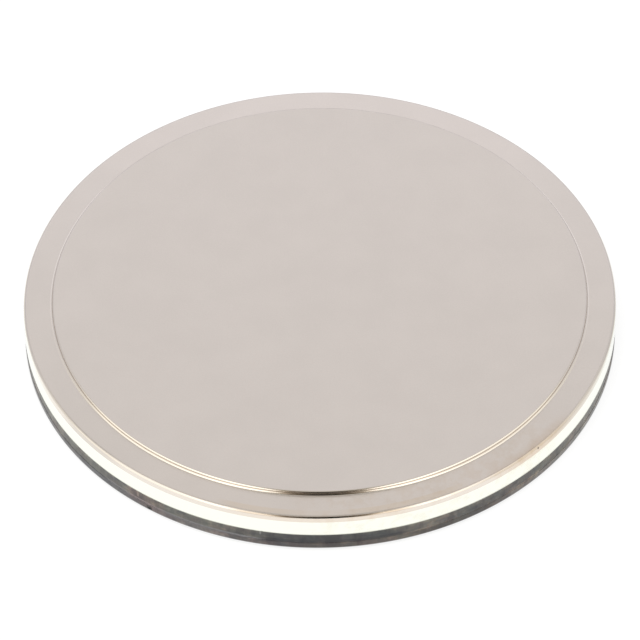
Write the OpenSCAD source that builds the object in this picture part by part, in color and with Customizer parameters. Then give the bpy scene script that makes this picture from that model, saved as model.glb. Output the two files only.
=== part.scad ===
// Thin press-pack rectifier diode: a flat capsule that is clamped between two
// heat sinks or bus bars. A deep metal cap covers the top, a dark insulating
// ring carries it all round, and a smaller contact disc closes the bottom. The
// silicon wafer and its molybdenum and silver discs lie stacked in between.
// The origin is the centre of the bottom contact face, and +Z is up.

/* [Body] */
// Outer diameter of the cap's rim, the widest part of the capsule
body_d = 60; // [50:0.5:70]
// Clearance all round between pieces that slot into each other
fit_gap = 0.05; // [0.02:0.01:0.1]

/* [Contact faces] */
// How far the top contact face stands above the cap's flange
top_rise = 0.4; // [0.3:0.05:1]
// How far the bottom contact face stands below the insulating ring
bottom_rise = 0.5; // [0.4:0.05:1]
// Radius of the soft edge round each contact face
contact_edge_r = 0.17; // [0.05:0.01:0.2]
// Radius of the hollow fillet at the foot of each contact face
contact_foot_r = 0.22; // [0.1:0.01:0.3]

/* [Cap] */
// Width of the flange round the top contact face
cap_flange_w = 2.95; // [1.5:0.05:6]
// How far that flange falls from the contact face's foot to the rim
flange_fall = 0.07; // [0.02:0.01:0.12]
// Height of the cap's outer rim, from the insulating ring to the flange
rim_h = 2.6; // [2.3:0.05:4]
// Thickness of the cap's rim, from its outer wall to its pocket
rim_wall = 1.8; // [1.2:0.1:2]
// Thickness of the flange, from its upper face to the pocket's ceiling
cap_web = 1.25; // [0.9:0.05:1.5]
// Radius of the round on the rim's upper edge
rim_edge_r = 0.3; // [0.1:0.05:0.4]
// Height of the slightly tapered land under the rim's upper edge
land_h = 0.75; // [0.5:0.05:1]
// How far that land leans in at its top
land_lean = 0.06; // [0.02:0.02:0.2]

/* [Insulating ring] */
// Height of the insulating ring that shows under the cap's rim
ring_h = 1.95; // [1.7:0.05:3]
// Thickness of the spigot that locates the ring in the cap's pocket
spigot_wall = 0.75; // [0.5:0.05:1]
// Room that the spigot leaves below the pocket's ceiling
spigot_room = 0.5; // [0.3:0.05:0.9]
// Width of the ring's lower face, round the bottom electrode
ring_face_w = 1.5; // [1.2:0.1:2]
// How far the ring's widest line lies inside the cap's outer wall
ring_inset = 0.06; // [0.05:0.01:0.3]
// How much narrower the ring gets towards its top and bottom edges
ring_draft = 0.05; // [0.02:0.01:0.2]
// Height of the moulding seam above the ring's bottom edge
seam_height = 0.7; // [0.6:0.05:1.2]
// Radius of the thin bead of flash along that seam
flash_r = 0.05; // [0.03:0.01:0.05]
// Size of the small chip in the ring's lower edge, across
chip_d = 0.55; // [0.3:0.05:0.8]
// Direction of that chip, from +X
chip_angle = 235; // [0:1:359]

/* [Bottom electrode] */
// Thickness of the flange that seats in the insulating ring
base_flange_t = 0.8; // [0.5:0.05:0.9]
// Width of that flange, round the bottom contact face
base_flange_w = 1.34; // [0.8:0.02:3]

/* [Wafer stack] */
// Thickness of the silicon wafer
wafer_t = 0.3; // [0.2:0.05:0.5]
// Width of the bevel round the wafer's upper edge
bevel_w = 0.4; // [0.2:0.05:0.6]
// Thickness of the lower molybdenum disc
lower_moly_t = 1; // [0.8:0.05:1.2]
// Thickness of the upper molybdenum disc
upper_moly_t = 0.6; // [0.45:0.05:0.8]
// How far the upper molybdenum disc stays inside the wafer's bevel
moly_margin = 0.6; // [0.3:0.05:1]
// Thickness of each silver foil
foil_t = 0.1; // [0.05:0.01:0.15]

/* [Rings round the stack] */
// Thickness of the rubber ring outside the wafer's edge
rubber_wall = 0.6; // [0.4:0.05:0.8]
// How far the rubber ring reaches down past the wafer
rubber_down = 0.5; // [0.3:0.05:0.7]
// How far the rubber ring stands above the wafer
rubber_up = 0.4; // [0.2:0.05:0.5]
// Thickness of the centring ring
centring_wall = 0.7; // [0.5:0.05:1]
// Room that the centring ring leaves below the pocket's ceiling
centring_room = 0.15; // [0.1:0.05:0.3]

/* [Hidden] */

$fn = 96;
// How far a cut runs past the face that it starts from
over = 1;
// Least height of upright wall between a contact face's edge and its foot
least_wall = 0.01;

// Heights of the seats, counted up from the bottom contact face
ring_bottom_z = bottom_rise;
base_flange_z = ring_bottom_z + base_flange_t;
seam_z = ring_bottom_z + seam_height;
ring_top_z = ring_bottom_z + ring_h;
cap_flange_z = ring_top_z + rim_h;
land_z = cap_flange_z - land_h;
ceiling_z = cap_flange_z - cap_web;

// Heights of the stack, counted down from the pocket's ceiling
upper_foil_z = ceiling_z - foil_t;
upper_moly_z = upper_foil_z - upper_moly_t;
wafer_z = upper_moly_z - wafer_t;
lower_moly_z = wafer_z - lower_moly_t;
lower_foil_z = lower_moly_z - foil_t;

// Radii, from the cap's outer wall inwards
body_r = body_d / 2;
seam_r = body_r - ring_inset;
edge_r = seam_r - ring_draft;
seat_r = edge_r - ring_face_w;
base_flange_r = seat_r - fit_gap;
top_contact_r = body_r - cap_flange_w;
bottom_contact_r = base_flange_r - base_flange_w;
pocket_r = body_r - rim_wall;
spigot_r = pocket_r - fit_gap;
bore_r = spigot_r - spigot_wall;
centring_r = bore_r - fit_gap;
rubber_r = centring_r - centring_wall - fit_gap;
wafer_r = rubber_r - rubber_wall;
bevel_r = wafer_r - bevel_w;
upper_moly_r = bevel_r - moly_margin;

// Colours as the photograph shows them, and plain ones for what is hidden
nickel = [0.82, 0.78, 0.75];
dark_compound = [0.36, 0.36, 0.36];
silver = [0.87, 0.87, 0.85];
molybdenum = [0.55, 0.55, 0.57];
silicon = [0.30, 0.31, 0.35];
clear_rubber = [0.78, 0.78, 0.72];
white_plastic = [0.93, 0.93, 0.91];

// Radius of the fillet at the foot of a contact face, within what its rise leaves
function foot_r(rise) = min(contact_foot_r, rise - contact_edge_r - least_wall);

// The direction of a vector, at length 1
function unit(v) = v / norm(v);

// Section of a disc, or of a ring with an inner radius, between two heights
module band(z_low, z_high, r_out, r_in = 0) {
    translate([r_in, z_low])
        square([r_out - r_in, z_high - z_low]);
}

// What a round takes off a section's upper outer corner at the origin
module edge_round(r) {
    difference() {
        translate([-r, -r])
            square(r + over);
        translate([-r, -r])
            circle(r);
    }
}

// What a round takes off a corner whose two sides run towards points a and b
module corner_round(corner, a, b, r) {
    to_a = unit(a - corner);
    to_b = unit(b - corner);
    half = acos(to_a * to_b) / 2;
    centre = corner + unit(to_a + to_b) * r / sin(half);
    difference() {
        polygon([
            centre,
            corner + to_a * r / tan(half),
            corner + unit(corner - centre) * r,
            corner + to_b * r / tan(half)
        ]);
        translate(centre)
            circle(r);
    }
}

// Hollow fillet for a section's inner corner at the origin, open up and out
module foot_fillet(r) {
    difference() {
        translate([-r, -r])
            square(2 * r);
        translate([r, r])
            circle(r);
    }
}

// Section of a raised contact face: radius r, standing rise above height 0
module contact_section(r, rise) {
    difference() {
        union() {
            band(-foot_r(rise), rise, r);
            translate([r, 0])
                foot_fillet(foot_r(rise));
        }
        translate([r, rise])
            edge_round(contact_edge_r);
    }
}

// Section of the cap's falling flange and rim, with its tapered land and round edge
module rim_section() {
    flange_start = [top_contact_r + foot_r(top_rise), cap_flange_z];
    rim_corner = [body_r - land_lean, cap_flange_z - flange_fall];
    land_foot = [body_r, land_z];
    difference() {
        polygon([
            [0, ring_top_z],
            [body_r, ring_top_z],
            land_foot,
            rim_corner,
            flange_start,
            [0, cap_flange_z]
        ]);
        corner_round(rim_corner, flange_start, land_foot, rim_edge_r);
    }
}

// Cap of nickel-plated copper: contact face, flange, rim and pocket in one
module top_electrode() {
    color(nickel)
        rotate_extrude()
            difference() {
                union() {
                    rim_section();
                    translate([0, cap_flange_z])
                        contact_section(top_contact_r, top_rise);
                }
                band(ring_top_z - over, ceiling_z, pocket_r);
            }
}

// Moulded insulating ring with its spigot, flange seat, seam and chip
module insulating_ring() {
    spigot_z = ceiling_z - spigot_room;
    color(dark_compound)
        difference() {
            rotate_extrude() {
                polygon([
                    [bore_r, base_flange_z],
                    [seat_r, base_flange_z],
                    [seat_r, ring_bottom_z],
                    [edge_r, ring_bottom_z],
                    [seam_r, seam_z],
                    [edge_r, ring_top_z],
                    [spigot_r, ring_top_z],
                    [spigot_r, spigot_z],
                    [bore_r, spigot_z]
                ]);
                translate([seam_r, seam_z])
                    circle(flash_r);
            }
            rotate([0, 0, chip_angle])
                translate([edge_r, 0, ring_bottom_z])
                    sphere(d = chip_d);
        }
}

// Contact disc that closes the bottom, with the flange that the ring sits on
module bottom_electrode() {
    color(nickel)
        rotate_extrude() {
            translate([0, ring_bottom_z])
                mirror([0, 1])
                    contact_section(bottom_contact_r, bottom_rise);
            band(ring_bottom_z, base_flange_z, base_flange_r);
            band(base_flange_z, lower_foil_z, wafer_r);
        }
}

// Soft foil between the bottom electrode and the lower molybdenum disc
module lower_silver_foil() {
    color(silver)
        rotate_extrude()
            band(lower_foil_z, lower_moly_z, wafer_r);
}

// Stiff disc that the wafer is alloyed to
module lower_molybdenum_disc() {
    color(molybdenum)
        rotate_extrude()
            band(lower_moly_z, wafer_z, wafer_r);
}

// Silicon wafer with its bevelled edge
module silicon_wafer() {
    color(silicon)
        rotate_extrude()
            polygon([
                [0, wafer_z],
                [wafer_r, wafer_z],
                [bevel_r, upper_moly_z],
                [0, upper_moly_z]
            ]);
}

// Disc that presses on the wafer's upper face, inside the bevel
module upper_molybdenum_disc() {
    color(molybdenum)
        rotate_extrude()
            band(upper_moly_z, upper_foil_z, upper_moly_r);
}

// Soft foil between the upper molybdenum disc and the cap
module upper_silver_foil() {
    color(silver)
        rotate_extrude()
            band(upper_foil_z, ceiling_z, upper_moly_r);
}

// Rubber ring that is cast on the wafer's bevel and guards its edge
module wafer_edge_ring() {
    inner_r = upper_moly_r + fit_gap;
    low_z = wafer_z - rubber_down;
    high_z = upper_moly_z + rubber_up;
    color(clear_rubber)
        rotate_extrude()
            polygon([
                [wafer_r, low_z],
                [rubber_r, low_z],
                [rubber_r, high_z],
                [inner_r, high_z],
                [inner_r, upper_moly_z],
                [bevel_r, upper_moly_z],
                [wafer_r, wafer_z]
            ]);
}

// Plastic ring that keeps the stack in the middle of the insulating ring
module centring_ring() {
    high_z = ceiling_z - centring_room;
    color(white_plastic)
        rotate_extrude()
            band(base_flange_z, high_z, centring_r, centring_r - centring_wall);
}

top_electrode();
insulating_ring();
bottom_electrode();
lower_silver_foil();
lower_molybdenum_disc();
silicon_wafer();
upper_molybdenum_disc();
upper_silver_foil();
wafer_edge_ring();
centring_ring();
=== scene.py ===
"""Looks of a thin press-pack rectifier diode, lying on a pale studio floor.

The three pieces that show are turned again as fine meshes on the frame's own
sizes. The pieces sealed inside keep their solids and get finishes of their own.
"""

import math

import bmesh
import bpy
from mathutils import Matrix, Vector


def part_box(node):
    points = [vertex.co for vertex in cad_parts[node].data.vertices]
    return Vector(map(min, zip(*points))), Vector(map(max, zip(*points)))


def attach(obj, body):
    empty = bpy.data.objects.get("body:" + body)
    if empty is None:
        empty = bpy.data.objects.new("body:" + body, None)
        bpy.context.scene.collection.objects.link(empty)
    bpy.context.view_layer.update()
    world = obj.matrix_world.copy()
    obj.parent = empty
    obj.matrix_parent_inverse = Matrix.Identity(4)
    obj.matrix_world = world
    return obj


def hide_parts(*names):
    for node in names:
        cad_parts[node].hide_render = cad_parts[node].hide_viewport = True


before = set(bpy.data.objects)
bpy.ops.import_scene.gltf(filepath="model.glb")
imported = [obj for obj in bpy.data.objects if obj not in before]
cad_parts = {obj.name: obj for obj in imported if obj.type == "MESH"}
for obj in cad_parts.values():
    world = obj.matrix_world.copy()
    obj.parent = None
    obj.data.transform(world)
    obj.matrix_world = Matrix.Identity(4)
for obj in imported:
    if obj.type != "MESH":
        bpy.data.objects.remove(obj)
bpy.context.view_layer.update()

MM = 0.001


def radius_of(node):
    """Outer radius of a turned node."""
    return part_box(node)[1].x


def foot_of(node):
    """Height of a node's lowest point."""
    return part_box(node)[0].z


def top_of(node):
    """Height of a node's highest point."""
    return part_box(node)[1].z


# Clearance between pieces that slot into each other
FIT_GAP = 0.05 * MM

# Soft edge and hollow foot of both contact faces
CONTACT_ROUND = 0.17 * MM
FOOT_ROUND = 0.22 * MM

# Cap: its face's rise, its flange's width and fall, its rim's thickness and round, and its tapered land
TOP_RISE = 0.4 * MM
CAP_FLANGE_W = 2.95 * MM
FLANGE_FALL = 0.07 * MM
RIM_WALL = 1.8 * MM
RIM_ROUND = 0.3 * MM
LAND_H = 0.75 * MM
LAND_LEAN = 0.06 * MM

# Cap: the radii and heights that follow
BODY_R = radius_of("top_electrode")
CONTACT_R = BODY_R - CAP_FLANGE_W
POCKET_R = BODY_R - RIM_WALL
FACE_Z = top_of("top_electrode")
FLANGE_Z = FACE_Z - TOP_RISE
RIM_Z = FLANGE_Z - FLANGE_FALL
LAND_Z = FLANGE_Z - LAND_H
RIM_FOOT_Z = foot_of("top_electrode")
CEILING_Z = top_of("upper_silver_foil")

# Insulating ring: its lower face's width, its bead of flash and its seam's height above its foot
RING_FACE_W = 1.5 * MM
FLASH_R = 0.05 * MM
SEAM_HEIGHT = 0.7 * MM

# Insulating ring: the radii and heights that follow
SEAT_R = radius_of("bottom_electrode") + FIT_GAP
RING_EDGE_R = SEAT_R + RING_FACE_W
SEAM_R = radius_of("insulating_ring") - FLASH_R
SPIGOT_R = POCKET_R - FIT_GAP
BORE_R = radius_of("centring_ring") + FIT_GAP
RING_FOOT_Z = foot_of("insulating_ring")
SEAM_Z = RING_FOOT_Z + SEAM_HEIGHT
SEAT_Z = foot_of("centring_ring")
SPIGOT_Z = top_of("insulating_ring")

# Chip in the ring's lower edge: its azimuth is counted from -Y, the photograph's side, towards +X
CHIP_AZIMUTH = math.radians(-35)
CHIP_R = 0.275 * MM
# How far the chip goes up for each part that it goes in
CHIP_CLIMB = 0.6

# Bottom electrode: its flange's width, and its radii and height
BASE_FLANGE_W = 1.34 * MM
BASE_FLANGE_R = radius_of("bottom_electrode")
BASE_CONTACT_R = BASE_FLANGE_R - BASE_FLANGE_W
BOSS_R = radius_of("silicon_wafer")
BASE_TOP_Z = top_of("bottom_electrode")

# Fineness of the turned meshes
STEPS_ROUND = 720
STEPS_PER_QUARTER = 10
STEPS_PER_BROKEN_QUARTER = 4
LEAST_STEPS = 3
SUPPORT = 0.03 * MM
BROKEN_EDGE = 0.03 * MM
# A point nearer than this to the axis lies on it
AXIS_R = 1e-9
# Angles that agree to this many digits are one angle
ANGLE_DIGITS = 6

# Finer mesh near the chip: reach and step along the section, and reach and steps round the axis
CHIP_REACH = 1.4 * CHIP_R
CHIP_STEP = CHIP_R / 6
CHIP_SPREAD = math.radians(1)
CHIP_STEPS_ROUND = 40

# Camera of the photograph: it looks at the middle of the cap's flange plane, and sees what lies
# between the two distances of its reach
CAMERA_DISTANCE = 0.6
CAMERA_ELEVATION = math.radians(46.0)
CAMERA_ROLL = math.radians(-0.85)
CAMERA_REACH = (0.01, 10)
FOCAL_PX = 5927
MIDDLE_PX = Vector((319.63, 296.68))
PICTURE_PX = 640
SENSOR_MM = 36


def on_rim(azimuth, radius, height):
    """The point at an azimuth counted from -Y towards +X."""
    return Vector((radius * math.sin(azimuth), -radius * math.cos(azimuth), height))


# Section tools

def rounded_corner(before, corner, after, radius):
    """Points of the arc that rounds a section's corner, with a support point on each side."""
    to_before = (before - corner).normalized()
    to_after = (after - corner).normalized()
    angle = to_before.angle(to_after)
    reach = radius / math.tan(angle / 2)
    centre = corner + (to_before + to_after).normalized() * (radius / math.sin(angle / 2))
    start = corner + to_before * reach - centre
    end = corner + to_after * reach - centre
    turn = math.pi - angle
    per_quarter = STEPS_PER_QUARTER if radius > BROKEN_EDGE else STEPS_PER_BROKEN_QUARTER
    steps = max(LEAST_STEPS, math.ceil(per_quarter * turn / (math.pi / 2)))
    points = [corner + to_before * (reach + SUPPORT)]
    for i in range(steps + 1):
        share = i / steps
        a = math.sin((1 - share) * turn) / math.sin(turn)
        b = math.sin(share * turn) / math.sin(turn)
        points.append(centre + start * a + end * b)
    points.append(corner + to_after * (reach + SUPPORT))
    return points


def section(corners):
    """Closed section through (radius, height, rounding) corners. A corner on the axis isn't rounded."""
    flat = [Vector((r, z)) for r, z, rounding in corners]
    points = []
    for i, (r, z, rounding) in enumerate(corners):
        if r <= 0:
            points.append(flat[i])
            continue
        after = flat[(i + 1) % len(flat)]
        points += rounded_corner(flat[i - 1], flat[i], after, max(rounding, BROKEN_EDGE))
    return points


def crowded(points, middle, reach, step):
    """The same closed section, with more points on its lines where they pass near a middle."""
    dense = []
    for i, start in enumerate(points):
        end = points[(i + 1) % len(points)]
        count = max(1, round((end - start).length / step))
        between = [start.lerp(end, k / count) for k in range(1, count)]
        dense.append(start)
        dense += [p for p in between if (p - middle).length < reach]
    return dense


def angles_round(near=None):
    """Angles of a turned mesh from +X: even all round, and finer near a chip's azimuth."""
    angles = [2 * math.pi * i / STEPS_ROUND for i in range(STEPS_ROUND)]
    if near is not None:
        start = near - math.pi / 2 - CHIP_SPREAD
        angles += [start + 2 * CHIP_SPREAD * i / CHIP_STEPS_ROUND for i in range(CHIP_STEPS_ROUND + 1)]
    return sorted({round(a % (2 * math.pi), ANGLE_DIGITS) for a in angles})


def lathe(name, points, angles):
    """Turns a closed section round the Z axis into one closed, smooth mesh object."""
    mesh = bmesh.new()
    rings = []
    for p in points:
        if p.x < AXIS_R:
            rings.append([mesh.verts.new((0, 0, p.y))])
        else:
            rings.append([mesh.verts.new((p.x * math.cos(a), p.x * math.sin(a), p.y)) for a in angles])
    count = len(angles)
    for i, ring in enumerate(rings):
        inner, outer = ring, rings[(i + 1) % len(rings)]
        if len(inner) == 1 and len(outer) == 1:
            continue
        for k in range(count):
            n = (k + 1) % count
            places = ((inner, k), (inner, n), (outer, n), (outer, k))
            corners = [side[j % len(side)] for side, j in places]
            mesh.faces.new(list(dict.fromkeys(corners)))
    bmesh.ops.recalc_face_normals(mesh, faces=mesh.faces)
    data = bpy.data.meshes.new(name)
    mesh.to_mesh(data)
    mesh.free()
    data.shade_smooth()
    made = bpy.data.objects.new(name, data)
    bpy.context.scene.collection.objects.link(made)
    return made


def dent(piece, centre, radius, climb):
    """Moves the vertices inside a sphere inwards and up, onto the sphere."""
    inward = Vector((-centre.x, -centre.y, 0)).normalized() + Vector((0, 0, climb))
    inward.normalize()
    for v in piece.data.vertices:
        off = v.co - centre
        if off.length < radius:
            along = off.dot(inward)
            v.co += inward * (math.sqrt(along * along - off.length_squared + radius * radius) - along)


# Pieces

def cap():
    """The top electrode: contact face, falling flange, tapered land, rim and pocket."""
    corners = [
        (0, FACE_Z, 0),
        (CONTACT_R, FACE_Z, CONTACT_ROUND),
        (CONTACT_R, FLANGE_Z, FOOT_ROUND),
        (BODY_R - LAND_LEAN, RIM_Z, RIM_ROUND),
        (BODY_R, LAND_Z, 0),
        (BODY_R, RIM_FOOT_Z, 0),
        (POCKET_R, RIM_FOOT_Z, 0),
        (POCKET_R, CEILING_Z, 0),
        (0, CEILING_Z, 0),
    ]
    return lathe("top_electrode_shell", section(corners), angles_round())


def seal_ring():
    """The moulded insulating ring, with its seam, flash and chip."""
    corners = [
        (BORE_R, SEAT_Z, 0),
        (SEAT_R, SEAT_Z, 0),
        (SEAT_R, RING_FOOT_Z, 0),
        (RING_EDGE_R, RING_FOOT_Z, 0),
        (SEAM_R, SEAM_Z - FLASH_R, FLASH_R / 2),
        (SEAM_R + FLASH_R, SEAM_Z, FLASH_R / 2),
        (SEAM_R, SEAM_Z + FLASH_R, FLASH_R / 2),
        (RING_EDGE_R, RIM_FOOT_Z, 0),
        (SPIGOT_R, RIM_FOOT_Z, 0),
        (SPIGOT_R, SPIGOT_Z, 0),
        (BORE_R, SPIGOT_Z, 0),
    ]
    lower_edge = Vector((RING_EDGE_R, RING_FOOT_Z))
    points = crowded(section(corners), lower_edge, CHIP_REACH, CHIP_STEP)
    piece = lathe("insulating_ring_body", points, angles_round(CHIP_AZIMUTH))
    dent(piece, on_rim(CHIP_AZIMUTH, RING_EDGE_R, RING_FOOT_Z), CHIP_R, CHIP_CLIMB)
    return piece


def base():
    """The bottom electrode: contact face below, flange in the ring, boss under the stack."""
    corners = [
        (0, BASE_TOP_Z, 0),
        (BOSS_R, BASE_TOP_Z, 0),
        (BOSS_R, SEAT_Z, 0),
        (BASE_FLANGE_R, SEAT_Z, 0),
        (BASE_FLANGE_R, RING_FOOT_Z, 0),
        (BASE_CONTACT_R, RING_FOOT_Z, FOOT_ROUND),
        (BASE_CONTACT_R, 0, CONTACT_ROUND),
        (0, 0, 0),
    ]
    return lathe("bottom_electrode_disc", section(corners), angles_round())


# Node tools

class Graph:
    """Short calls that add nodes to one tree and return their output sockets."""

    def __init__(self, tree):
        self.tree = tree
        tree.nodes.clear()

    def add(self, kind, inputs=(), **settings):
        """A node with these settings, and with a value or a link for each of these inputs."""
        node = self.tree.nodes.new(kind)
        for key, value in settings.items():
            setattr(node, key, value)
        for key, value in dict(inputs).items():
            self.put(node.inputs[key], value)
        return node

    def put(self, socket, value):
        """Links the socket to another one, or sets its number, vector or colour."""
        if isinstance(value, bpy.types.NodeSocket):
            self.tree.links.new(value, socket)
        elif isinstance(value, tuple) and socket.type == "RGBA":
            socket.default_value = (*value, 1)
        else:
            socket.default_value = value

    def math(self, operation, a, b=0.0):
        """The result of one operation on one or two numbers."""
        return self.add("ShaderNodeMath", {0: a, 1: b}, operation=operation).outputs[0]

    def times(self, product, *factors):
        """The product of all the numbers."""
        for factor in factors:
            product = self.math("MULTIPLY", product, factor)
        return product

    def ramp(self, value, low, high, out_low=0.0, out_high=1.0):
        """Smooth change from out_low to out_high as the value goes from low to high."""
        names = ("Value", "From Min", "From Max", "To Min", "To Max")
        inputs = zip(names, (value, low, high, out_low, out_high))
        return self.add("ShaderNodeMapRange", inputs, interpolation_type="SMOOTHSTEP").outputs[0]

    def window(self, value, low, high, soft):
        """1 between low and high, falling to 0 over a soft distance outside them."""
        return self.times(self.ramp(value, low - soft, low), self.ramp(value, high + soft, high))

    def opposite(self, share):
        """0 where the share is 1, and 1 where it is 0."""
        return self.ramp(share, 1.0, 0.0)

    def mix(self, share, a, b, way="MIX"):
        """Colour a turning into b as the share goes from 0 to 1, or into a times b with MULTIPLY."""
        # The node's inputs 6 and 7 are its two colours, and its output 2 is the colour between them
        inputs = {0: share, 6: a, 7: b}
        return self.add("ShaderNodeMix", inputs, data_type="RGBA", blend_type=way).outputs[2]

    def blend(self, share, a, b):
        """Number a turning into number b as the share goes from 0 to 1."""
        return self.add("ShaderNodeMix", {0: share, 2: a, 3: b}).outputs[0]

    def split(self, vector):
        """The x, y and z of a vector."""
        return self.add("ShaderNodeSeparateXYZ", {0: vector}).outputs

    def distance(self, x, y):
        """Distance from the axis."""
        return self.math("SQRT", self.math("ADD", self.times(x, x), self.times(y, y)))

    def place_mm(self, factors=(1, 1, 1)):
        """The object's own coordinates in millimetres, times a factor along each axis."""
        spot = self.add("ShaderNodeTexCoord").outputs["Object"]
        per_mm = tuple(factor / MM for factor in factors)
        return self.add("ShaderNodeVectorMath", {0: spot, 1: per_mm}, operation="MULTIPLY").outputs[0]


class Finish(Graph):
    """A material in the making, with its colour so far. It measures in millimetres and degrees."""

    def __init__(self, name, metallic):
        self.material = bpy.data.materials.new(name)
        self.material.use_nodes = True
        super().__init__(self.material.node_tree)
        self.shader = self.add("ShaderNodeBsdfPrincipled", {"Metallic": metallic})
        self.add("ShaderNodeOutputMaterial", {"Surface": self.shader.outputs[0]})
        self.place = self.place_mm()
        self.colour = None

    def noise(self, spots, detail=3.0, roughness=0.5):
        """Noise with about this many spots in a millimetre, or with a number of them for each axis."""
        place = self.place
        scale = spots
        if isinstance(spots, tuple):
            place = self.place_mm(spots)
            scale = 1.0
        inputs = {"Vector": place, "Scale": scale, "Detail": detail, "Roughness": roughness}
        return self.add("ShaderNodeTexNoise", inputs).outputs[0]

    def near(self, spot, inner, outer):
        """1 within the inner distance of a spot, 0 past the outer one."""
        ends = {0: self.place, 1: tuple(spot)}
        away = self.add("ShaderNodeVectorMath", ends, operation="DISTANCE").outputs["Value"]
        return self.ramp(away, outer, inner)

    def locate(self, radius_from=0, height_from=0):
        """Finds where a point is. The radii and heights of marks are counted from the two given."""
        x, y, self.height = self.split(self.place)
        self.radius = self.distance(x, y)
        azimuth = self.math("DEGREES", self.math("ARCTAN2", x, self.times(y, -1.0)))
        self.aside = self.math("ABSOLUTE", azimuth)
        self.measures = {
            "azimuths": (azimuth, 0),
            "aside": (self.aside, 0),
            "radii": (self.radius, radius_from),
            "heights": (self.height, height_from),
        }

    def extent(self, value, origin, limits):
        """Share of one stretch of a value, by limits that are counted from an origin.

        With two limits it rises from the first to the second. With three it lies between the first two,
        and the third says how softly it ends.
        """
        low, high, *soft = limits
        kind = self.window if soft else self.ramp
        return kind(value, origin + low, origin + high, *soft)

    def where(self, mark, *also):
        """Share of a mark: its extents and any other shares, multiplied."""
        shares = [self.extent(*self.measures[key], limits) for key, limits in mark.items()]
        return self.times(*shares, *also)

    def tint(self, share, factors):
        """Multiplies the colour by the factors where the share is 1."""
        self.colour = self.mix(share, self.colour, factors, "MULTIPLY")

    def cover(self, share, colour):
        """Puts another colour on top where the share is 1."""
        self.colour = self.mix(share, self.colour, colour)

    def tones(self, marks, *also):
        """Tints each mark by its own factors, as far as the other shares go."""
        for mark, factors in marks:
            self.tint(self.where(mark, *also), factors)

    def mottle(self, noise, tones):
        """Tints by each tone's factors, from none at the noise's first value to all at its second."""
        for first, second, factors in tones:
            self.tint(self.ramp(noise, first, second), factors)

    def done(self, roughness, relief, depth):
        """Connects the colour, the roughness and a relief of this depth, and returns the material."""
        bump = self.add("ShaderNodeBump", {"Distance": depth * MM, "Height": relief})
        self.put(self.shader.inputs["Base Color"], self.colour)
        self.put(self.shader.inputs["Roughness"], roughness)
        self.put(self.shader.inputs["Normal"], bump.outputs[0])
        return self.material


# Nickel plating

# Linear colours
SATIN = (0.622, 0.570, 0.519)
BURNISHED = (0.84, 0.77, 0.68)
LAND = (0.83, 0.745, 0.65)
LAND_ASIDE = (0.835, 0.765, 0.69)
# Near white for the rim's wall: the nickel lightened as a painted reflection of the bright floor
BRIGHT_PAINTED_REFLECTION = (0.97, 0.985, 0.90)
COMPOUND_SMEAR = (0.16, 0.15, 0.14)
PIT = (0.10, 0.07, 0.06)

# Factors that tint it
# Painted shade for the foot of the contact face's step in front
STEP_FOOT_SHADE = (0.70, 0.65, 0.6)
FLANGE_TONE = (1.035, 1.03, 1.03)
GREY = (0.88, 0.88, 0.88)
TAN = (0.985, 0.95, 0.89)
RIM_FOOT_TONE = (0.74, 0.74, 0.72)
STAIN = (0.90, 0.83, 0.75)
TARNISH = (0.82, 0.81, 0.79)

# Noises
GRAIN = dict(spots=7.0, roughness=0.6)
CLOUDS = dict(spots=0.22, roughness=0.55)
PATCHES = dict(spots=0.9, roughness=0.6)

# Satin: how much clouds and grain count, between which sums they change the colour, and by how much
CLOUD_SHARE = 0.6
GRAIN_SHARE = 0.8
SATIN_SUMS = (0.45, 0.95)
SATIN_CHANGE = 0.025
SATIN_ROUGHNESS = 0.3
GRAIN_DEPTH = 0.0015

# Marks on the cap. Azimuths are degrees from -Y towards +X, and aside is to both sides of -Y. Radii are
# counted from the body's and heights from the land's foot, in millimetres.
# Painted shade at the foot of the contact face's step, in front only
STEP_FOOT_SHADE_MARK = dict(azimuths=(-5, 4, 8))
FLANGE_SIDES = dict(aside=(44, 125, 12))
LAND_SIDES = dict(aside=(8, 26))
DULL_FRONT = dict(azimuths=(-58, 56, 24), heights=(-0.03, 0.03))
GREY_MARK = dict(azimuths=(-54, -46, 6), radii=(-0.4, -0.25), heights=(-0.05, 0.05))
TAN_MARK = dict(azimuths=(-17, 25, 5), radii=(-0.9, -0.4, 0.12))
STAIN_MARK = dict(azimuths=(41, 49, 9), radii=(-1.4, -0.1), heights=(-0.4, 0.4))
TARNISH_MARK = dict(azimuths=(56, 84, 12), radii=(-0.2, -0.06), heights=(-0.1, 0.3))
MOTTLE_MARK = dict(azimuths=(2, 44, 12), radii=(-2.4, -0.1, 0.4))

# Tones of the round on the rim's upper edge, a mark and its factors: painted shade near the front,
# painted shade towards the sides and back, and a tarnished stretch on the right
ROUND_SHADE_AND_TARNISH = (
    (dict(aside=(8, 14.5, 5)), (0.73, 0.68, 0.63)),
    (dict(aside=(64, 76)), (0.80, 0.80, 0.80)),
    (dict(azimuths=(35, 52, 6)), (0.86, 0.85, 0.84)),
)

# Tan stretch of the flange: degrees aside between which it gets stronger, and both strengths
TAN_GROWS = (2, 9, 0.4, 1.0)

# Stains: two values of the patchy noise, and how strong a stain and the flange's mottling are at each
STAIN_PATCHES = (0.2, 0.6, 0.55, 1.0)
MOTTLE_PATCHES = (0.42, 0.66, 0.05, 0.4)

# Radii from a contact face's, in millimetres: its burnished edge, painted shade at its foot, the
# flange's tone
POLISH_RADII = (-0.12, 0.1, 0.05)
STEP_FOOT_SHADE_RADII = (-0.01, 0.04, 0.08)
FLANGE_RADII = (0.15, 0.25)

# Burnished edge of the cap's face: between these degrees aside it moves out by its shift, and fades to
# its share there. The shift and the fade paint the edge's darker reflections at the sides as shade.
POLISH_MOVES = (50, 64)
POLISH_SHIFT = 0.08
POLISH_FADES = (52, 76)
POLISH_ASIDE = 0.5
POLISH_ROUGHNESS = 0.12

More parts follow.
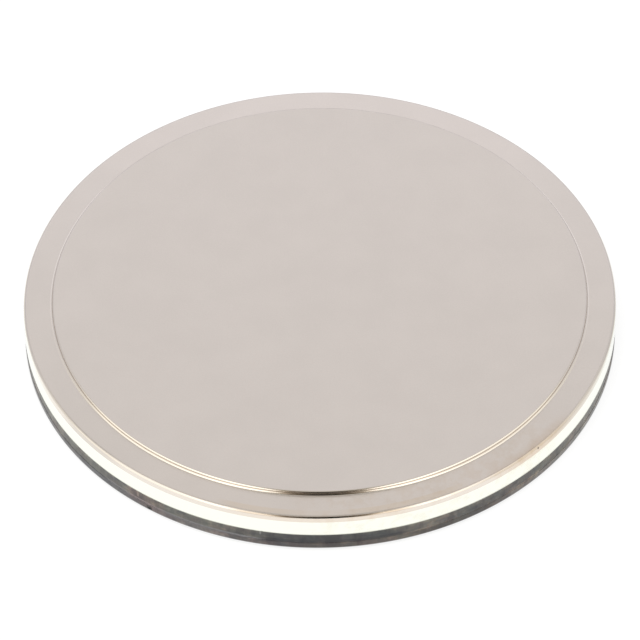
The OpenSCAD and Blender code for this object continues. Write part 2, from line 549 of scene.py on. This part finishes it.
# Burnished edge of the bottom electrode's face: it ends at this many times the ring's foot height
BASE_POLISH_TOP = 1.2
BASE_POLISH_ROUGHNESS = 0.16

# Heights in millimetres from the rim's corner: its round, and its walls below
ROUND_HEIGHTS = (-0.02, -0.08)
WALL_HEIGHTS = (-0.15, -0.27)

# Darker foot of the rim, in millimetres above its lower edge
FOOT_HEIGHTS = (0.18, 0.04)

# Faint smear of compound on the rim's lower edge: inner and outer reach, and strength
SMEAR_AZIMUTH = math.radians(-11.55)
SMEAR_REACH = (0.03, 0.16)
SMEAR_STRENGTH = 0.3

# Pit in the land, in millimetres: how far in from the body and down from the rim's corner, its inner
# and outer reach, its strength, and its depth in grains
PIT_AZIMUTH = math.radians(45.55)
PIT_IN = 0.08
PIT_DOWN = 0.22
PIT_REACH = (0.06, 0.17)
PIT_STRENGTH = 0.75
PIT_DEPTH = 20.0


def satin_plate(finish):
    """Even satin nickel with a fine grain and faint clouds. Returns the grain."""
    grain = finish.noise(**GRAIN)
    clouds = finish.noise(**CLOUDS)
    total = finish.math("ADD", finish.times(clouds, CLOUD_SHARE), finish.times(grain, GRAIN_SHARE))
    dark = tuple(c * (1 - SATIN_CHANGE) for c in SATIN)
    light = tuple(c * (1 + SATIN_CHANGE) for c in SATIN)
    finish.colour = finish.mix(finish.ramp(total, *SATIN_SUMS), dark, light)
    return grain


def cap_step(finish):
    """The contact face's burnished edge with painted shade at its foot in front, and the flange's tone.

    Returns the edge's share.
    """
    step = CONTACT_R / MM
    # Painted shade: the burnished edge moves out and fades at the sides
    shift = finish.ramp(finish.aside, *POLISH_MOVES, 0.0, POLISH_SHIFT)
    polish = finish.extent(finish.math("SUBTRACT", finish.radius, shift), step, POLISH_RADII)
    burnished = finish.times(polish, finish.ramp(finish.aside, *POLISH_FADES, 1.0, POLISH_ASIDE))
    finish.cover(burnished, BURNISHED)
    # Painted shade at the step's foot, in front only
    foot_shade = finish.extent(finish.radius, step, STEP_FOOT_SHADE_RADII)
    finish.tint(finish.where(STEP_FOOT_SHADE_MARK, foot_shade), STEP_FOOT_SHADE)
    flange = finish.extent(finish.radius, step, FLANGE_RADII)
    sides = finish.where(FLANGE_SIDES)
    finish.tint(finish.times(flange, finish.opposite(sides)), FLANGE_TONE)
    return burnished


def cap_round(finish):
    """The burnished round on the rim's upper edge, with painted shade near the front and towards the
    back, and a tarnished stretch. Returns its share.
    """
    on_round = finish.extent(finish.height, RIM_Z / MM, ROUND_HEIGHTS)
    finish.cover(on_round, BURNISHED)
    # Painted shade on the round near the front and towards the back, and tarnish on the right
    finish.tones(ROUND_SHADE_AND_TARNISH, on_round)
    return on_round


def cap_walls(finish):
    """The rim painted near white as a painted reflection of the bright floor, and the tapered land
    above it, which is duller towards the front.
    """
    land = finish.mix(finish.where(LAND_SIDES), LAND, LAND_ASIDE)
    # Painted reflection: near white on the rim, and on the land away from the front
    walls = finish.mix(finish.where(DULL_FRONT), BRIGHT_PAINTED_REFLECTION, land)
    finish.cover(finish.extent(finish.height, RIM_Z / MM, WALL_HEIGHTS), walls)


def cap_tones(finish):
    """A greyer stretch of the land, a tan one of the flange, and the rim's darker foot."""
    finish.tint(finish.where(GREY_MARK), GREY)
    finish.tint(finish.where(TAN_MARK, finish.ramp(finish.aside, *TAN_GROWS)), TAN)
    finish.tint(finish.extent(finish.height, RIM_FOOT_Z / MM, FOOT_HEIGHTS), RIM_FOOT_TONE)


def cap_stains(finish):
    """Patchy stains on the right of the rim, its tarnished right end, and a mottled flange."""
    patches = finish.noise(**PATCHES)
    finish.tint(finish.where(STAIN_MARK, finish.ramp(patches, *STAIN_PATCHES)), STAIN)
    finish.tint(finish.where(TARNISH_MARK), TARNISH)
    finish.tint(finish.where(MOTTLE_MARK, finish.ramp(patches, *MOTTLE_PATCHES)), STAIN)


def cap_flaws(finish):
    """A smear of compound on the rim's foot, and a pit in the land. Returns the pit's share."""
    spot = on_rim(SMEAR_AZIMUTH, BODY_R / MM, RIM_FOOT_Z / MM)
    finish.cover(finish.times(finish.near(spot, *SMEAR_REACH), SMEAR_STRENGTH), COMPOUND_SMEAR)
    spot = on_rim(PIT_AZIMUTH, BODY_R / MM - PIT_IN, RIM_Z / MM - PIT_DOWN)
    pit = finish.near(spot, *PIT_REACH)
    finish.cover(finish.times(pit, PIT_STRENGTH), PIT)
    return pit


def cap_finish():
    """Nickel plating of the cap."""
    finish = Finish("nickel_plate", metallic=1.0)
    finish.locate(BODY_R / MM, LAND_Z / MM)
    grain = satin_plate(finish)
    burnished = cap_step(finish)
    on_round = cap_round(finish)
    cap_walls(finish)
    cap_tones(finish)
    cap_stains(finish)
    pit = cap_flaws(finish)
    polish = finish.math("MAXIMUM", burnished, on_round)
    roughness = finish.ramp(polish, 0.0, 1.0, SATIN_ROUGHNESS, POLISH_ROUGHNESS)
    relief = finish.math("SUBTRACT", grain, finish.times(pit, PIT_DEPTH))
    return finish.done(roughness, relief, GRAIN_DEPTH)


def base_finish():
    """Nickel plating of the bottom electrode: satin, with a burnished edge round its contact face."""
    finish = Finish("base_nickel_plate", metallic=1.0)
    finish.locate()
    grain = satin_plate(finish)
    ring_foot = RING_FOOT_Z / MM
    low = finish.ramp(finish.height, BASE_POLISH_TOP * ring_foot, ring_foot)
    polish = finish.extent(finish.radius, BASE_CONTACT_R / MM, POLISH_RADII)
    burnished = finish.times(polish, low)
    finish.cover(burnished, BURNISHED)
    roughness = finish.ramp(burnished, 0.0, 1.0, SATIN_ROUGHNESS, BASE_POLISH_ROUGHNESS)
    return finish.done(roughness, grain, GRAIN_DEPTH)


# Moulded compound of the ring

# Linear colours, the first two below and above the seam
BARE = ((0.105, 0.092, 0.085), (0.062, 0.064, 0.066))
# The second pair is dust with painted light, for the left and right sides
DUST_AND_SIDE_LIGHT = ((0.235, 0.219, 0.203), (0.180, 0.176, 0.160))
SHADE = (0.025, 0.026, 0.03)
PALE_STREAK = (0.285, 0.28, 0.29)
PALE_TICK = (0.42, 0.34, 0.28)
PALE_SPECK = (0.8, 0.8, 0.78)
# Painted shade in the chip
CHIP_SHADE = (0.02, 0.014, 0.01)

# Factors that tint it
# Painted light on the ring's top, and more of it in front
TOP_LIGHT = (1.4, 1.38, 1.32)
TOP_FRONT_LIGHT = (1.7, 1.68, 1.65)
# Painted light on the ring's left and right sides
SIDE_LIGHT = (1.25, 1.24, 1.18)
UPPER_RIGHT_TONE = (0.94, 0.96, 1.02)
SPOT_TONE = (0.72, 0.7, 0.7)
# Painted light that lifts the seam's bead where it is shaded
SEAM_LIGHT = (1.5, 1.46, 1.42)
BROWN = (0.98, 0.87, 0.78)
REDDISH = (1.35, 1.14, 1.1)

# Noises: stretched smudges and blotches, speckle, upright streaks, and hues
SMUDGES = dict(spots=(0.45, 0.45, 1.2), detail=4.0, roughness=0.65)
BLOTCHES = dict(spots=(0.7, 0.7, 1.8), roughness=0.6)
SPECKLE = dict(spots=4.0, roughness=0.65)
STREAKS = dict(spots=(0.85, 0.85, 0.3), roughness=0.6)
HUES = dict(spots=(0.5, 0.5, 0.4), roughness=0.6)

# Uneven tones: a light and a dark one for each noise, with the noise's two values and the factors
STREAK_TONES = ((0.51, 0.62, (1.34, 1.33, 1.3)), (0.48, 0.38, (0.7, 0.7, 0.72)))
HUE_TONES = ((0.5, 0.62, (1.06, 0.97, 0.98)), (0.48, 0.38, (0.94, 0.99, 1.0)))
BLOTCH_TONES = ((0.5, 0.66, (1.38, 1.34, 1.24)), (0.46, 0.32, (0.72, 0.74, 0.82)))

# Marks on the ring, with heights counted from the seam
ABOVE_SEAM = dict(heights=(-0.03, 0.15))
# Dust with painted light to the left and right
DUSTY_LIT_SIDES = dict(aside=(6, 22))
TOP_FRONT_LIT = dict(azimuths=(-34, 14, 8))
# Painted light on the left and right sides
RING_LIT_SIDES = dict(aside=(46, 62))
UPPER_RIGHT = dict(azimuths=(24, 42, 8))
SHADE_MARK = dict(azimuths=(-7, 14, 6), heights=(0.12, 0.36, 0.1))
SPOT_MARK = dict(azimuths=(-11.2, -9.2, 0.8), heights=(-0.1, 0.35, 0.15))
STREAK_MARK = dict(azimuths=(-44, -14, 4), heights=(0.04, 0.18, 0.08))
SEAM_LIGHT_MARK = dict(azimuths=(18, 46, 4), heights=(-0.02, 0.1, 0.05))
BROWN_MARK = dict(azimuths=(22, 50, 10))
REDDISH_MARK = dict(azimuths=(-38.5, -33, 2.5))
TICK_MARK = dict(azimuths=(-37.75, -37.45, 0.15), heights=(0.5, 1.25, 0.15))
SPECK_MARK = dict(azimuths=(-12, -11.85, 0.15), heights=(0.85, 1.25, 0.25))

# Tones below the seam: a mark and its factors
LOWER_TONES = (
    (dict(azimuths=(-75, -38, 4)), (0.54, 0.57, 0.66)),
    (dict(azimuths=(-33, -6, 4)), (0.94, 0.91, 0.96)),
    (dict(azimuths=(8, 19, 3)), (1.15, 1.12, 1.08)),
    (dict(azimuths=(19, 33, 8)), (0.46, 0.46, 0.44)),
)

# Where the painted light on the top starts above the seam, and heights of its palest stretch from the
# rim's foot
TOP_LIGHT_START = 0.5
TOP_FRONT_LIGHT_HEIGHTS = (-0.3, -0.05)

# Two values of a noise, and how strong the dust with its painted light, the pale streak and the reddish
# smudge are at each. The brown smudges go from none to all between theirs.
DUST_AND_LIGHT_PATCHES = (0.3, 0.65, 0.55, 1.0)
STREAK_GRAINS = (0.3, 0.55, 0.45, 1.0)
REDDISH_GRAINS = (0.35, 0.6, 0.5, 1.0)
BROWN_GRAINS = (0.45, 0.6)

# Strengths of single marks, and the painted shade in the chip: its height above the ring's foot, and
# its reach
SHADE_STRENGTH = 0.55
BROWN_STRENGTH = 0.7
TICK_STRENGTH = 0.8
SPECK_STRENGTH = 0.35
CHIP_SHADE_STRENGTH = 0.95
CHIP_SHADE_UP = 0.27
CHIP_SHADE_REACH = (0.24, 0.46)

# Two values of the smudges' noise with the roughness at each, how much the speckle adds to the
# blotches' relief, and the relief's depth
COMPOUND_ROUGHNESS = (0.3, 0.7, 0.28, 0.42)
SPECKLE_SHARE = 0.5
COMPOUND_DEPTH = 0.012


def ring_ground(finish, upper, smudge):
    """Bare compound near the front, dust with painted light to the left and right, and painted light on
    the top.
    """
    # Dust and painted light to the left and right
    dusty_and_lit = finish.where(DUSTY_LIT_SIDES, finish.ramp(smudge, *DUST_AND_LIGHT_PATCHES))
    finish.colour = finish.mix(dusty_and_lit, finish.mix(upper, *BARE), finish.mix(upper, *DUST_AND_SIDE_LIGHT))
    rim_foot = RIM_FOOT_Z / MM
    # Painted light on the ring's top
    finish.tint(finish.ramp(finish.height, SEAM_Z / MM + TOP_LIGHT_START, rim_foot), TOP_LIGHT)
    top = finish.extent(finish.height, rim_foot, TOP_FRONT_LIGHT_HEIGHTS)
    finish.tint(finish.where(TOP_FRONT_LIT, top), TOP_FRONT_LIGHT)


def ring_tones(finish, upper):
    """Darker under the cap's middle, the tones of the stretches below and above the seam, and painted
    light on the sides.
    """
    finish.cover(finish.where(SHADE_MARK, SHADE_STRENGTH), SHADE)
    finish.tones(LOWER_TONES, finish.opposite(upper))
    # Painted light on the sides
    finish.tint(finish.where(RING_LIT_SIDES), SIDE_LIGHT)
    finish.tint(finish.where(UPPER_RIGHT, upper), UPPER_RIGHT_TONE)
    finish.tint(finish.where(SPOT_MARK), SPOT_TONE)


def ring_unevenness(finish, blotch):
    """Upright streaks of light and dark, reddish and greenish greys, and blotches."""
    finish.mottle(finish.noise(**STREAKS), STREAK_TONES)
    finish.mottle(finish.noise(**HUES), HUE_TONES)
    finish.mottle(blotch, BLOTCH_TONES)


def ring_marks(finish, speckle):
    """A pale streak, painted light on the seam, brown and reddish smudges, a tick, a speck and painted
    shade in the chip.
    """
    finish.cover(finish.where(STREAK_MARK, finish.ramp(speckle, *STREAK_GRAINS)), PALE_STREAK)
    # Painted light on the seam's bead
    finish.tint(finish.where(SEAM_LIGHT_MARK), SEAM_LIGHT)
    brown_grains = finish.ramp(speckle, *BROWN_GRAINS)
    finish.tint(finish.where(BROWN_MARK, brown_grains, BROWN_STRENGTH), BROWN)
    finish.tint(finish.where(REDDISH_MARK, finish.ramp(speckle, *REDDISH_GRAINS)), REDDISH)
    finish.cover(finish.where(TICK_MARK, TICK_STRENGTH), PALE_TICK)
    finish.cover(finish.where(SPECK_MARK, SPECK_STRENGTH), PALE_SPECK)
    # Painted shade in the chip, on the wall just above it
    spot = on_rim(CHIP_AZIMUTH, RING_EDGE_R / MM, RING_FOOT_Z / MM + CHIP_SHADE_UP)
    finish.cover(finish.times(finish.near(spot, *CHIP_SHADE_REACH), CHIP_SHADE_STRENGTH), CHIP_SHADE)


def compound_finish():
    """Dull moulded compound of the ring."""
    finish = Finish("insulating_compound", metallic=0.0)
    finish.locate(height_from=SEAM_Z / MM)
    smudge = finish.noise(**SMUDGES)
    blotch = finish.noise(**BLOTCHES)
    speckle = finish.noise(**SPECKLE)
    upper = finish.where(ABOVE_SEAM)
    ring_ground(finish, upper, smudge)
    ring_tones(finish, upper)
    ring_unevenness(finish, blotch)
    ring_marks(finish, speckle)
    roughness = finish.ramp(smudge, *COMPOUND_ROUGHNESS)
    relief = finish.math("ADD", blotch, finish.times(speckle, SPECKLE_SHARE))
    return finish.done(roughness, relief, COMPOUND_DEPTH)


# Pieces sealed inside

# Noises
METAL_GRAIN = dict(detail=4.0, roughness=0.6)
METAL_CLOUDS = dict(spots=0.4)
LAPPING = dict(spots=(12.0, 12.0, 4.0))
MOULD_TEXTURE = dict(spots=5.0)
MOULD_CLOUDS = dict(spots=0.6)

# Noise between these values goes from one tone to the other
TONE_VALUES = (0.3, 0.7)

# How far the roughness of a metal and of a moulded piece goes up and down, how deep mould texture
# is, and how far light scatters under a moulded surface
METAL_ROUGHNESS_CHANGE = 0.06
MOULDED_ROUGHNESS_CHANGE = 0.08
MOULD_DEPTH = 0.004
SCATTER_RADIUS = 0.3 * MM

# Silicon and its aluminium contact. The contact's mark is counted from the upper disc's edge and
# the wafer's face.
SILICON_DARK = (0.10, 0.105, 0.125)
SILICON_LIGHT = (0.13, 0.135, 0.155)
ALUMINIUM = (0.80, 0.81, 0.82)
SILICON_ROUGHNESS = 0.16
ALUMINIUM_ROUGHNESS = 0.38
CONTACT_MARK = dict(radii=(0.05, 0), heights=(-0.02, -0.005))
LAPPING_DEPTH = 0.001


def metal_finish(name, light, dark, roughness, grain_spots, grain_depth):
    """A plain metal with fine grain and slow changes of tone."""
    finish = Finish(name, metallic=1.0)
    grain = finish.noise(grain_spots, **METAL_GRAIN)
    clouds = finish.noise(**METAL_CLOUDS)
    finish.colour = finish.mix(finish.ramp(clouds, *TONE_VALUES), dark, light)
    change = METAL_ROUGHNESS_CHANGE
    rough = finish.ramp(grain, *TONE_VALUES, roughness - change, roughness + change)
    return finish.done(rough, grain, grain_depth)


def wafer_finish():
    """Silicon with an aluminium contact inside the bevel on its upper face."""
    finish = Finish("silicon", metallic=1.0)
    finish.locate(radius_of("upper_molybdenum_disc") / MM, top_of("silicon_wafer") / MM)
    plated = finish.where(CONTACT_MARK)
    lapping = finish.noise(**LAPPING)
    finish.colour = finish.mix(finish.ramp(lapping, *TONE_VALUES), SILICON_DARK, SILICON_LIGHT)
    finish.cover(plated, ALUMINIUM)
    roughness = finish.ramp(plated, 0.0, 1.0, SILICON_ROUGHNESS, ALUMINIUM_ROUGHNESS)
    return finish.done(roughness, lapping, LAPPING_DEPTH)


def moulded_finish(name, light, dark, roughness, scatter):
    """Rubber or plastic with a soft surface, faint clouds and fine mould texture."""
    finish = Finish(name, metallic=0.0)
    texture = finish.noise(**MOULD_TEXTURE)
    clouds = finish.noise(**MOULD_CLOUDS)
    finish.colour = finish.mix(finish.ramp(clouds, *TONE_VALUES), dark, light)
    finish.shader.inputs["Subsurface Weight"].default_value = scatter
    finish.shader.inputs["Subsurface Scale"].default_value = SCATTER_RADIUS
    change = MOULDED_ROUGHNESS_CHANGE
    rough = finish.ramp(texture, *TONE_VALUES, roughness - change, roughness + change)
    return finish.done(rough, texture, MOULD_DEPTH)


# Studio

# A strength of 1 is white. Two measures tell where a part of the sky is. Its arc is degrees over the
# object: 0 at the horizon on the camera's side, 90 overhead and 180 at the far horizon. Its side is 0
# on that arc, and 1 at the left and right horizon. A pair of either is where one part turns into the
# next, and a pair of strengths is those at its two ends.

# The middle of the sky lies this far to the right
SKY_MIDDLE_X = 0.01

# Over the middle: dim from the camera's horizon to overhead, then bright, then a darker far horizon
HORIZON_SIDE = (0.05, 0.26)
HORIZON_STRENGTHS = (0.0, 0.3)
OVERHEAD_ARC = (40, 98)
OVERHEAD_STRENGTH = 0.58
FAR_ARC = (92, 108)
FAR_RISE_ARC = (108, 150)
FAR_STRENGTHS = (0.6, 1.31)
FAR_FALL_ARC = (150, 161)
FAR_HORIZON_STRENGTH = 0.62

# To the left and right, a soft box on the camera's half. Its outer end is weaker, more so on the right.
BOX_SIDE = (0.21, 0.31)
BOX_STRENGTH = 1.65
BOX_END_SIDE = (0.55, 0.72)
BOX_END_X = (-0.4, 0.4)
BOX_END_STRENGTHS = (1.3, 1.12)

# Behind the object, walls that get darker towards the far horizon
HALVES_ARC = (92, 112)
WALL_SIDE = (0.28, 0.5)
WALL_ARC = (100, 140)
WALL_STRENGTH = 0.98
WALL_END_SIDE = (0.6, 0.85)
WALL_END_STRENGTHS = (0.85, 0.8)

# Colours of the light: warm, bluish at the far end, and brown low on the camera's side
WARM_LIGHT = (1.0, 0.985, 0.95)
BLUISH_LIGHT = (1.0, 1.0, 1.08)
BLUISH_ARC = (122, 144)
BROWN_LIGHT = (1.0, 0.85, 0.7)
BROWN_SIDE = (0.3, 0.2)
BROWN_ARC = (90, 50)

WHITE = (1.0, 1.0, 1.0)

# How strong the sky is in diffuse light, next to how strong it is in reflections
DIFFUSE_STRENGTH = 0.7

# Floor: half its width, how far it lies below the object, its tone, and its glow, which stops under the
# object's foot as a painted shadow and starts softly over the last distance, in millimetres
FLOOR_HALF = 3.0
FLOOR_DROP = 0.01 * MM
FLOOR_TONE = (0.2, 0.2, 0.2)
FLOOR_GLOW = 0.86
FLOOR_SOFT = 0.15


def sky_light(graph):
    """Colour and strength of the light from each direction."""
    x, y, z = graph.split(graph.add("ShaderNodeTexCoord").outputs["Generated"])
    arc = graph.math("DEGREES", graph.math("ARCTAN2", z, graph.times(y, -1.0)))
    side = graph.math("ABSOLUTE", graph.math("SUBTRACT", x, SKY_MIDDLE_X))

    horizon = graph.ramp(side, *HORIZON_SIDE, *HORIZON_STRENGTHS)
    dim = graph.blend(graph.ramp(arc, *OVERHEAD_ARC), horizon, OVERHEAD_STRENGTH)
    far = graph.blend(graph.ramp(arc, *FAR_RISE_ARC), *FAR_STRENGTHS)
    far = graph.blend(graph.ramp(arc, *FAR_FALL_ARC), far, FAR_HORIZON_STRENGTH)
    middle = graph.blend(graph.ramp(arc, *FAR_ARC), dim, far)

    box_end = graph.ramp(x, *BOX_END_X, *BOX_END_STRENGTHS)
    box = graph.blend(graph.ramp(side, *BOX_END_SIDE), BOX_STRENGTH, box_end)
    wall_end = graph.ramp(side, *WALL_END_SIDE, *WALL_END_STRENGTHS)
    wall = graph.blend(graph.ramp(arc, *WALL_ARC), WALL_STRENGTH, wall_end)
    near_half = graph.blend(graph.ramp(side, *BOX_SIDE), middle, box)
    far_half = graph.blend(graph.ramp(side, *WALL_SIDE), middle, wall)
    strength = graph.blend(graph.ramp(arc, *HALVES_ARC), near_half, far_half)

    brown = graph.times(graph.ramp(side, *BROWN_SIDE), graph.ramp(arc, *BROWN_ARC))
    colour = graph.mix(graph.ramp(arc, *BLUISH_ARC), WARM_LIGHT, BLUISH_LIGHT)
    return graph.mix(brown, colour, BROWN_LIGHT, "MULTIPLY"), strength


def studio_world():
    """Sky that lights the object less in diffuse light than in reflections, and looks white."""
    world = bpy.data.worlds.new("studio")
    bpy.context.scene.world = world
    world.use_nodes = True
    graph = Graph(world.node_tree)
    colour, strength = sky_light(graph)
    rays = graph.add("ShaderNodeLightPath").outputs
    strength = graph.blend(rays["Is Glossy Ray"], graph.times(strength, DIFFUSE_STRENGTH), strength)
    strength = graph.blend(rays["Is Camera Ray"], strength, 1.0)
    colour = graph.mix(rays["Is Camera Ray"], colour, WHITE)
    background = graph.add("ShaderNodeBackground", {"Color": colour, "Strength": strength})
    graph.add("ShaderNodeOutputWorld", {"Surface": background.outputs[0]})


def floor_material():
    """Grey for light that falls on it, and glowing white to the camera and in reflections.

    It glows outside the object's foot and not under it, which paints a shadow there. In front of and
    behind the object the glow starts further in by the foot's own height, because a view from above
    sees that far under the edge there.
    """
    made = bpy.data.materials.new("floor_white")
    made.use_nodes = True
    graph = Graph(made.node_tree)
    x, y = graph.split(graph.place_mm())[:2]
    radius = graph.distance(x, y)
    under = graph.math("DIVIDE", graph.times(graph.math("ABSOLUTE", y), RING_FOOT_Z / MM), radius)
    edge = RING_EDGE_R / MM
    # No glow under the foot: a painted shadow
    clear_of_painted_shadow = graph.ramp(graph.math("ADD", radius, under), edge, edge + FLOOR_SOFT)
    rays = graph.add("ShaderNodeLightPath").outputs
    seen = graph.math("MAXIMUM", rays["Is Camera Ray"], rays["Is Glossy Ray"])
    strength = graph.times(seen, clear_of_painted_shadow, FLOOR_GLOW)
    diffuse = graph.add("ShaderNodeBsdfDiffuse", {"Color": FLOOR_TONE})
    glow = graph.add("ShaderNodeEmission", {"Color": WHITE, "Strength": strength})
    total = graph.add("ShaderNodeAddShader", {0: diffuse.outputs[0], 1: glow.outputs[0]})
    graph.add("ShaderNodeOutputMaterial", {"Surface": total.outputs[0]})
    return made


def studio_floor():
    """A plain pale floor that keeps a faint shadow of the object."""
    half = FLOOR_HALF
    corners = [(-half, -half, 0), (half, -half, 0), (half, half, 0), (-half, half, 0)]
    data = bpy.data.meshes.new("floor")
    data.from_pydata(corners, [], [(0, 1, 2, 3)])
    floor = bpy.data.objects.new("floor", data)
    bpy.context.scene.collection.objects.link(floor)
    floor.location.z = -FLOOR_DROP
    data.materials.append(floor_material())


def studio_lamp(name, place, size, power):
    """A round soft lamp that aims at the object and shows in no reflection."""
    data = bpy.data.lights.new(name, "AREA")
    data.shape = "DISK"
    data.size = size
    data.energy = power
    lamp = bpy.data.objects.new(name, data)
    bpy.context.scene.collection.objects.link(lamp)
    lamp.location = place
    lamp.rotation_euler = (-Vector(place)).to_track_quat("-Z", "Y").to_euler()
    lamp.visible_glossy = False
    lamp.visible_camera = False


def photo_camera():
    """Puts the camera where the photograph's was, with the disc's middle where it shows there."""
    aim = Vector((0, 0, FLANGE_Z))
    away = Vector((0, -math.cos(CAMERA_ELEVATION), math.sin(CAMERA_ELEVATION)))
    right = Vector((1, 0, 0))
    up = right.cross(-away)
    roll_right = right * math.cos(CAMERA_ROLL) + up * math.sin(CAMERA_ROLL)
    roll_up = up * math.cos(CAMERA_ROLL) - right * math.sin(CAMERA_ROLL)
    sight = Matrix((roll_right, roll_up, away)).transposed()
    off = (MIDDLE_PX - Vector((PICTURE_PX / 2, PICTURE_PX / 2))) / FOCAL_PX
    ray = Vector((off.x, -off.y, -1)).normalized()
    turn = ray.rotation_difference(Vector((0, 0, -1))).to_matrix()
    data = bpy.data.cameras.new("camera")
    data.sensor_width = SENSOR_MM
    data.lens = FOCAL_PX / PICTURE_PX * SENSOR_MM
    data.clip_start, data.clip_end = CAMERA_REACH
    camera = bpy.data.objects.new("camera", data)
    bpy.context.scene.collection.objects.link(camera)
    camera.matrix_world = Matrix.Translation(aim + away * CAMERA_DISTANCE) @ (sight @ turn).to_4x4()
    bpy.context.scene.camera = camera


# The three pieces that show replace their solids
for piece, node, finish, slot in (
    (cap(), "top_electrode", cap_finish(), "nickel_plate"),
    (seal_ring(), "insulating_ring", compound_finish(), "insulating_compound"),
    (base(), "bottom_electrode", base_finish(), "nickel_plate"),
):
    piece.data.materials.append(finish)
    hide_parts(node)
    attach(piece, "root")

# The pieces sealed inside keep their solids
silver = metal_finish(
    "silver_foil",
    light=(0.93, 0.92, 0.89),
    dark=(0.86, 0.85, 0.82),
    roughness=0.28,
    grain_spots=3.0,
    grain_depth=0.002,
)
molybdenum = metal_finish(
    "molybdenum",
    light=(0.36, 0.36, 0.38),
    dark=(0.28, 0.28, 0.30),
    roughness=0.4,
    grain_spots=8.0,
    grain_depth=0.003,
)
rubber = moulded_finish(
    "wafer_edge_rubber",
    light=(0.62, 0.61, 0.53),
    dark=(0.52, 0.51, 0.44),
    roughness=0.4,
    scatter=0.4,
)
plastic = moulded_finish(
    "centring_plastic",
    light=(0.86, 0.86, 0.83),
    dark=(0.78, 0.78, 0.75),
    roughness=0.45,
    scatter=0.1,
)
for node, finish in (
    ("lower_silver_foil", silver),
    ("upper_silver_foil", silver),
    ("lower_molybdenum_disc", molybdenum),
    ("upper_molybdenum_disc", molybdenum),
    ("silicon_wafer", wafer_finish()),
    ("wafer_edge_ring", rubber),
    ("centring_ring", plastic),
):
    bpy.data.objects[node].material_slots[0].material = finish

studio_world()
studio_floor()
studio_lamp("key", place=(-0.15, -0.3, 0.9), size=0.7, power=4.0)
photo_camera()
bpy.context.scene.view_settings.view_transform = "Standard"
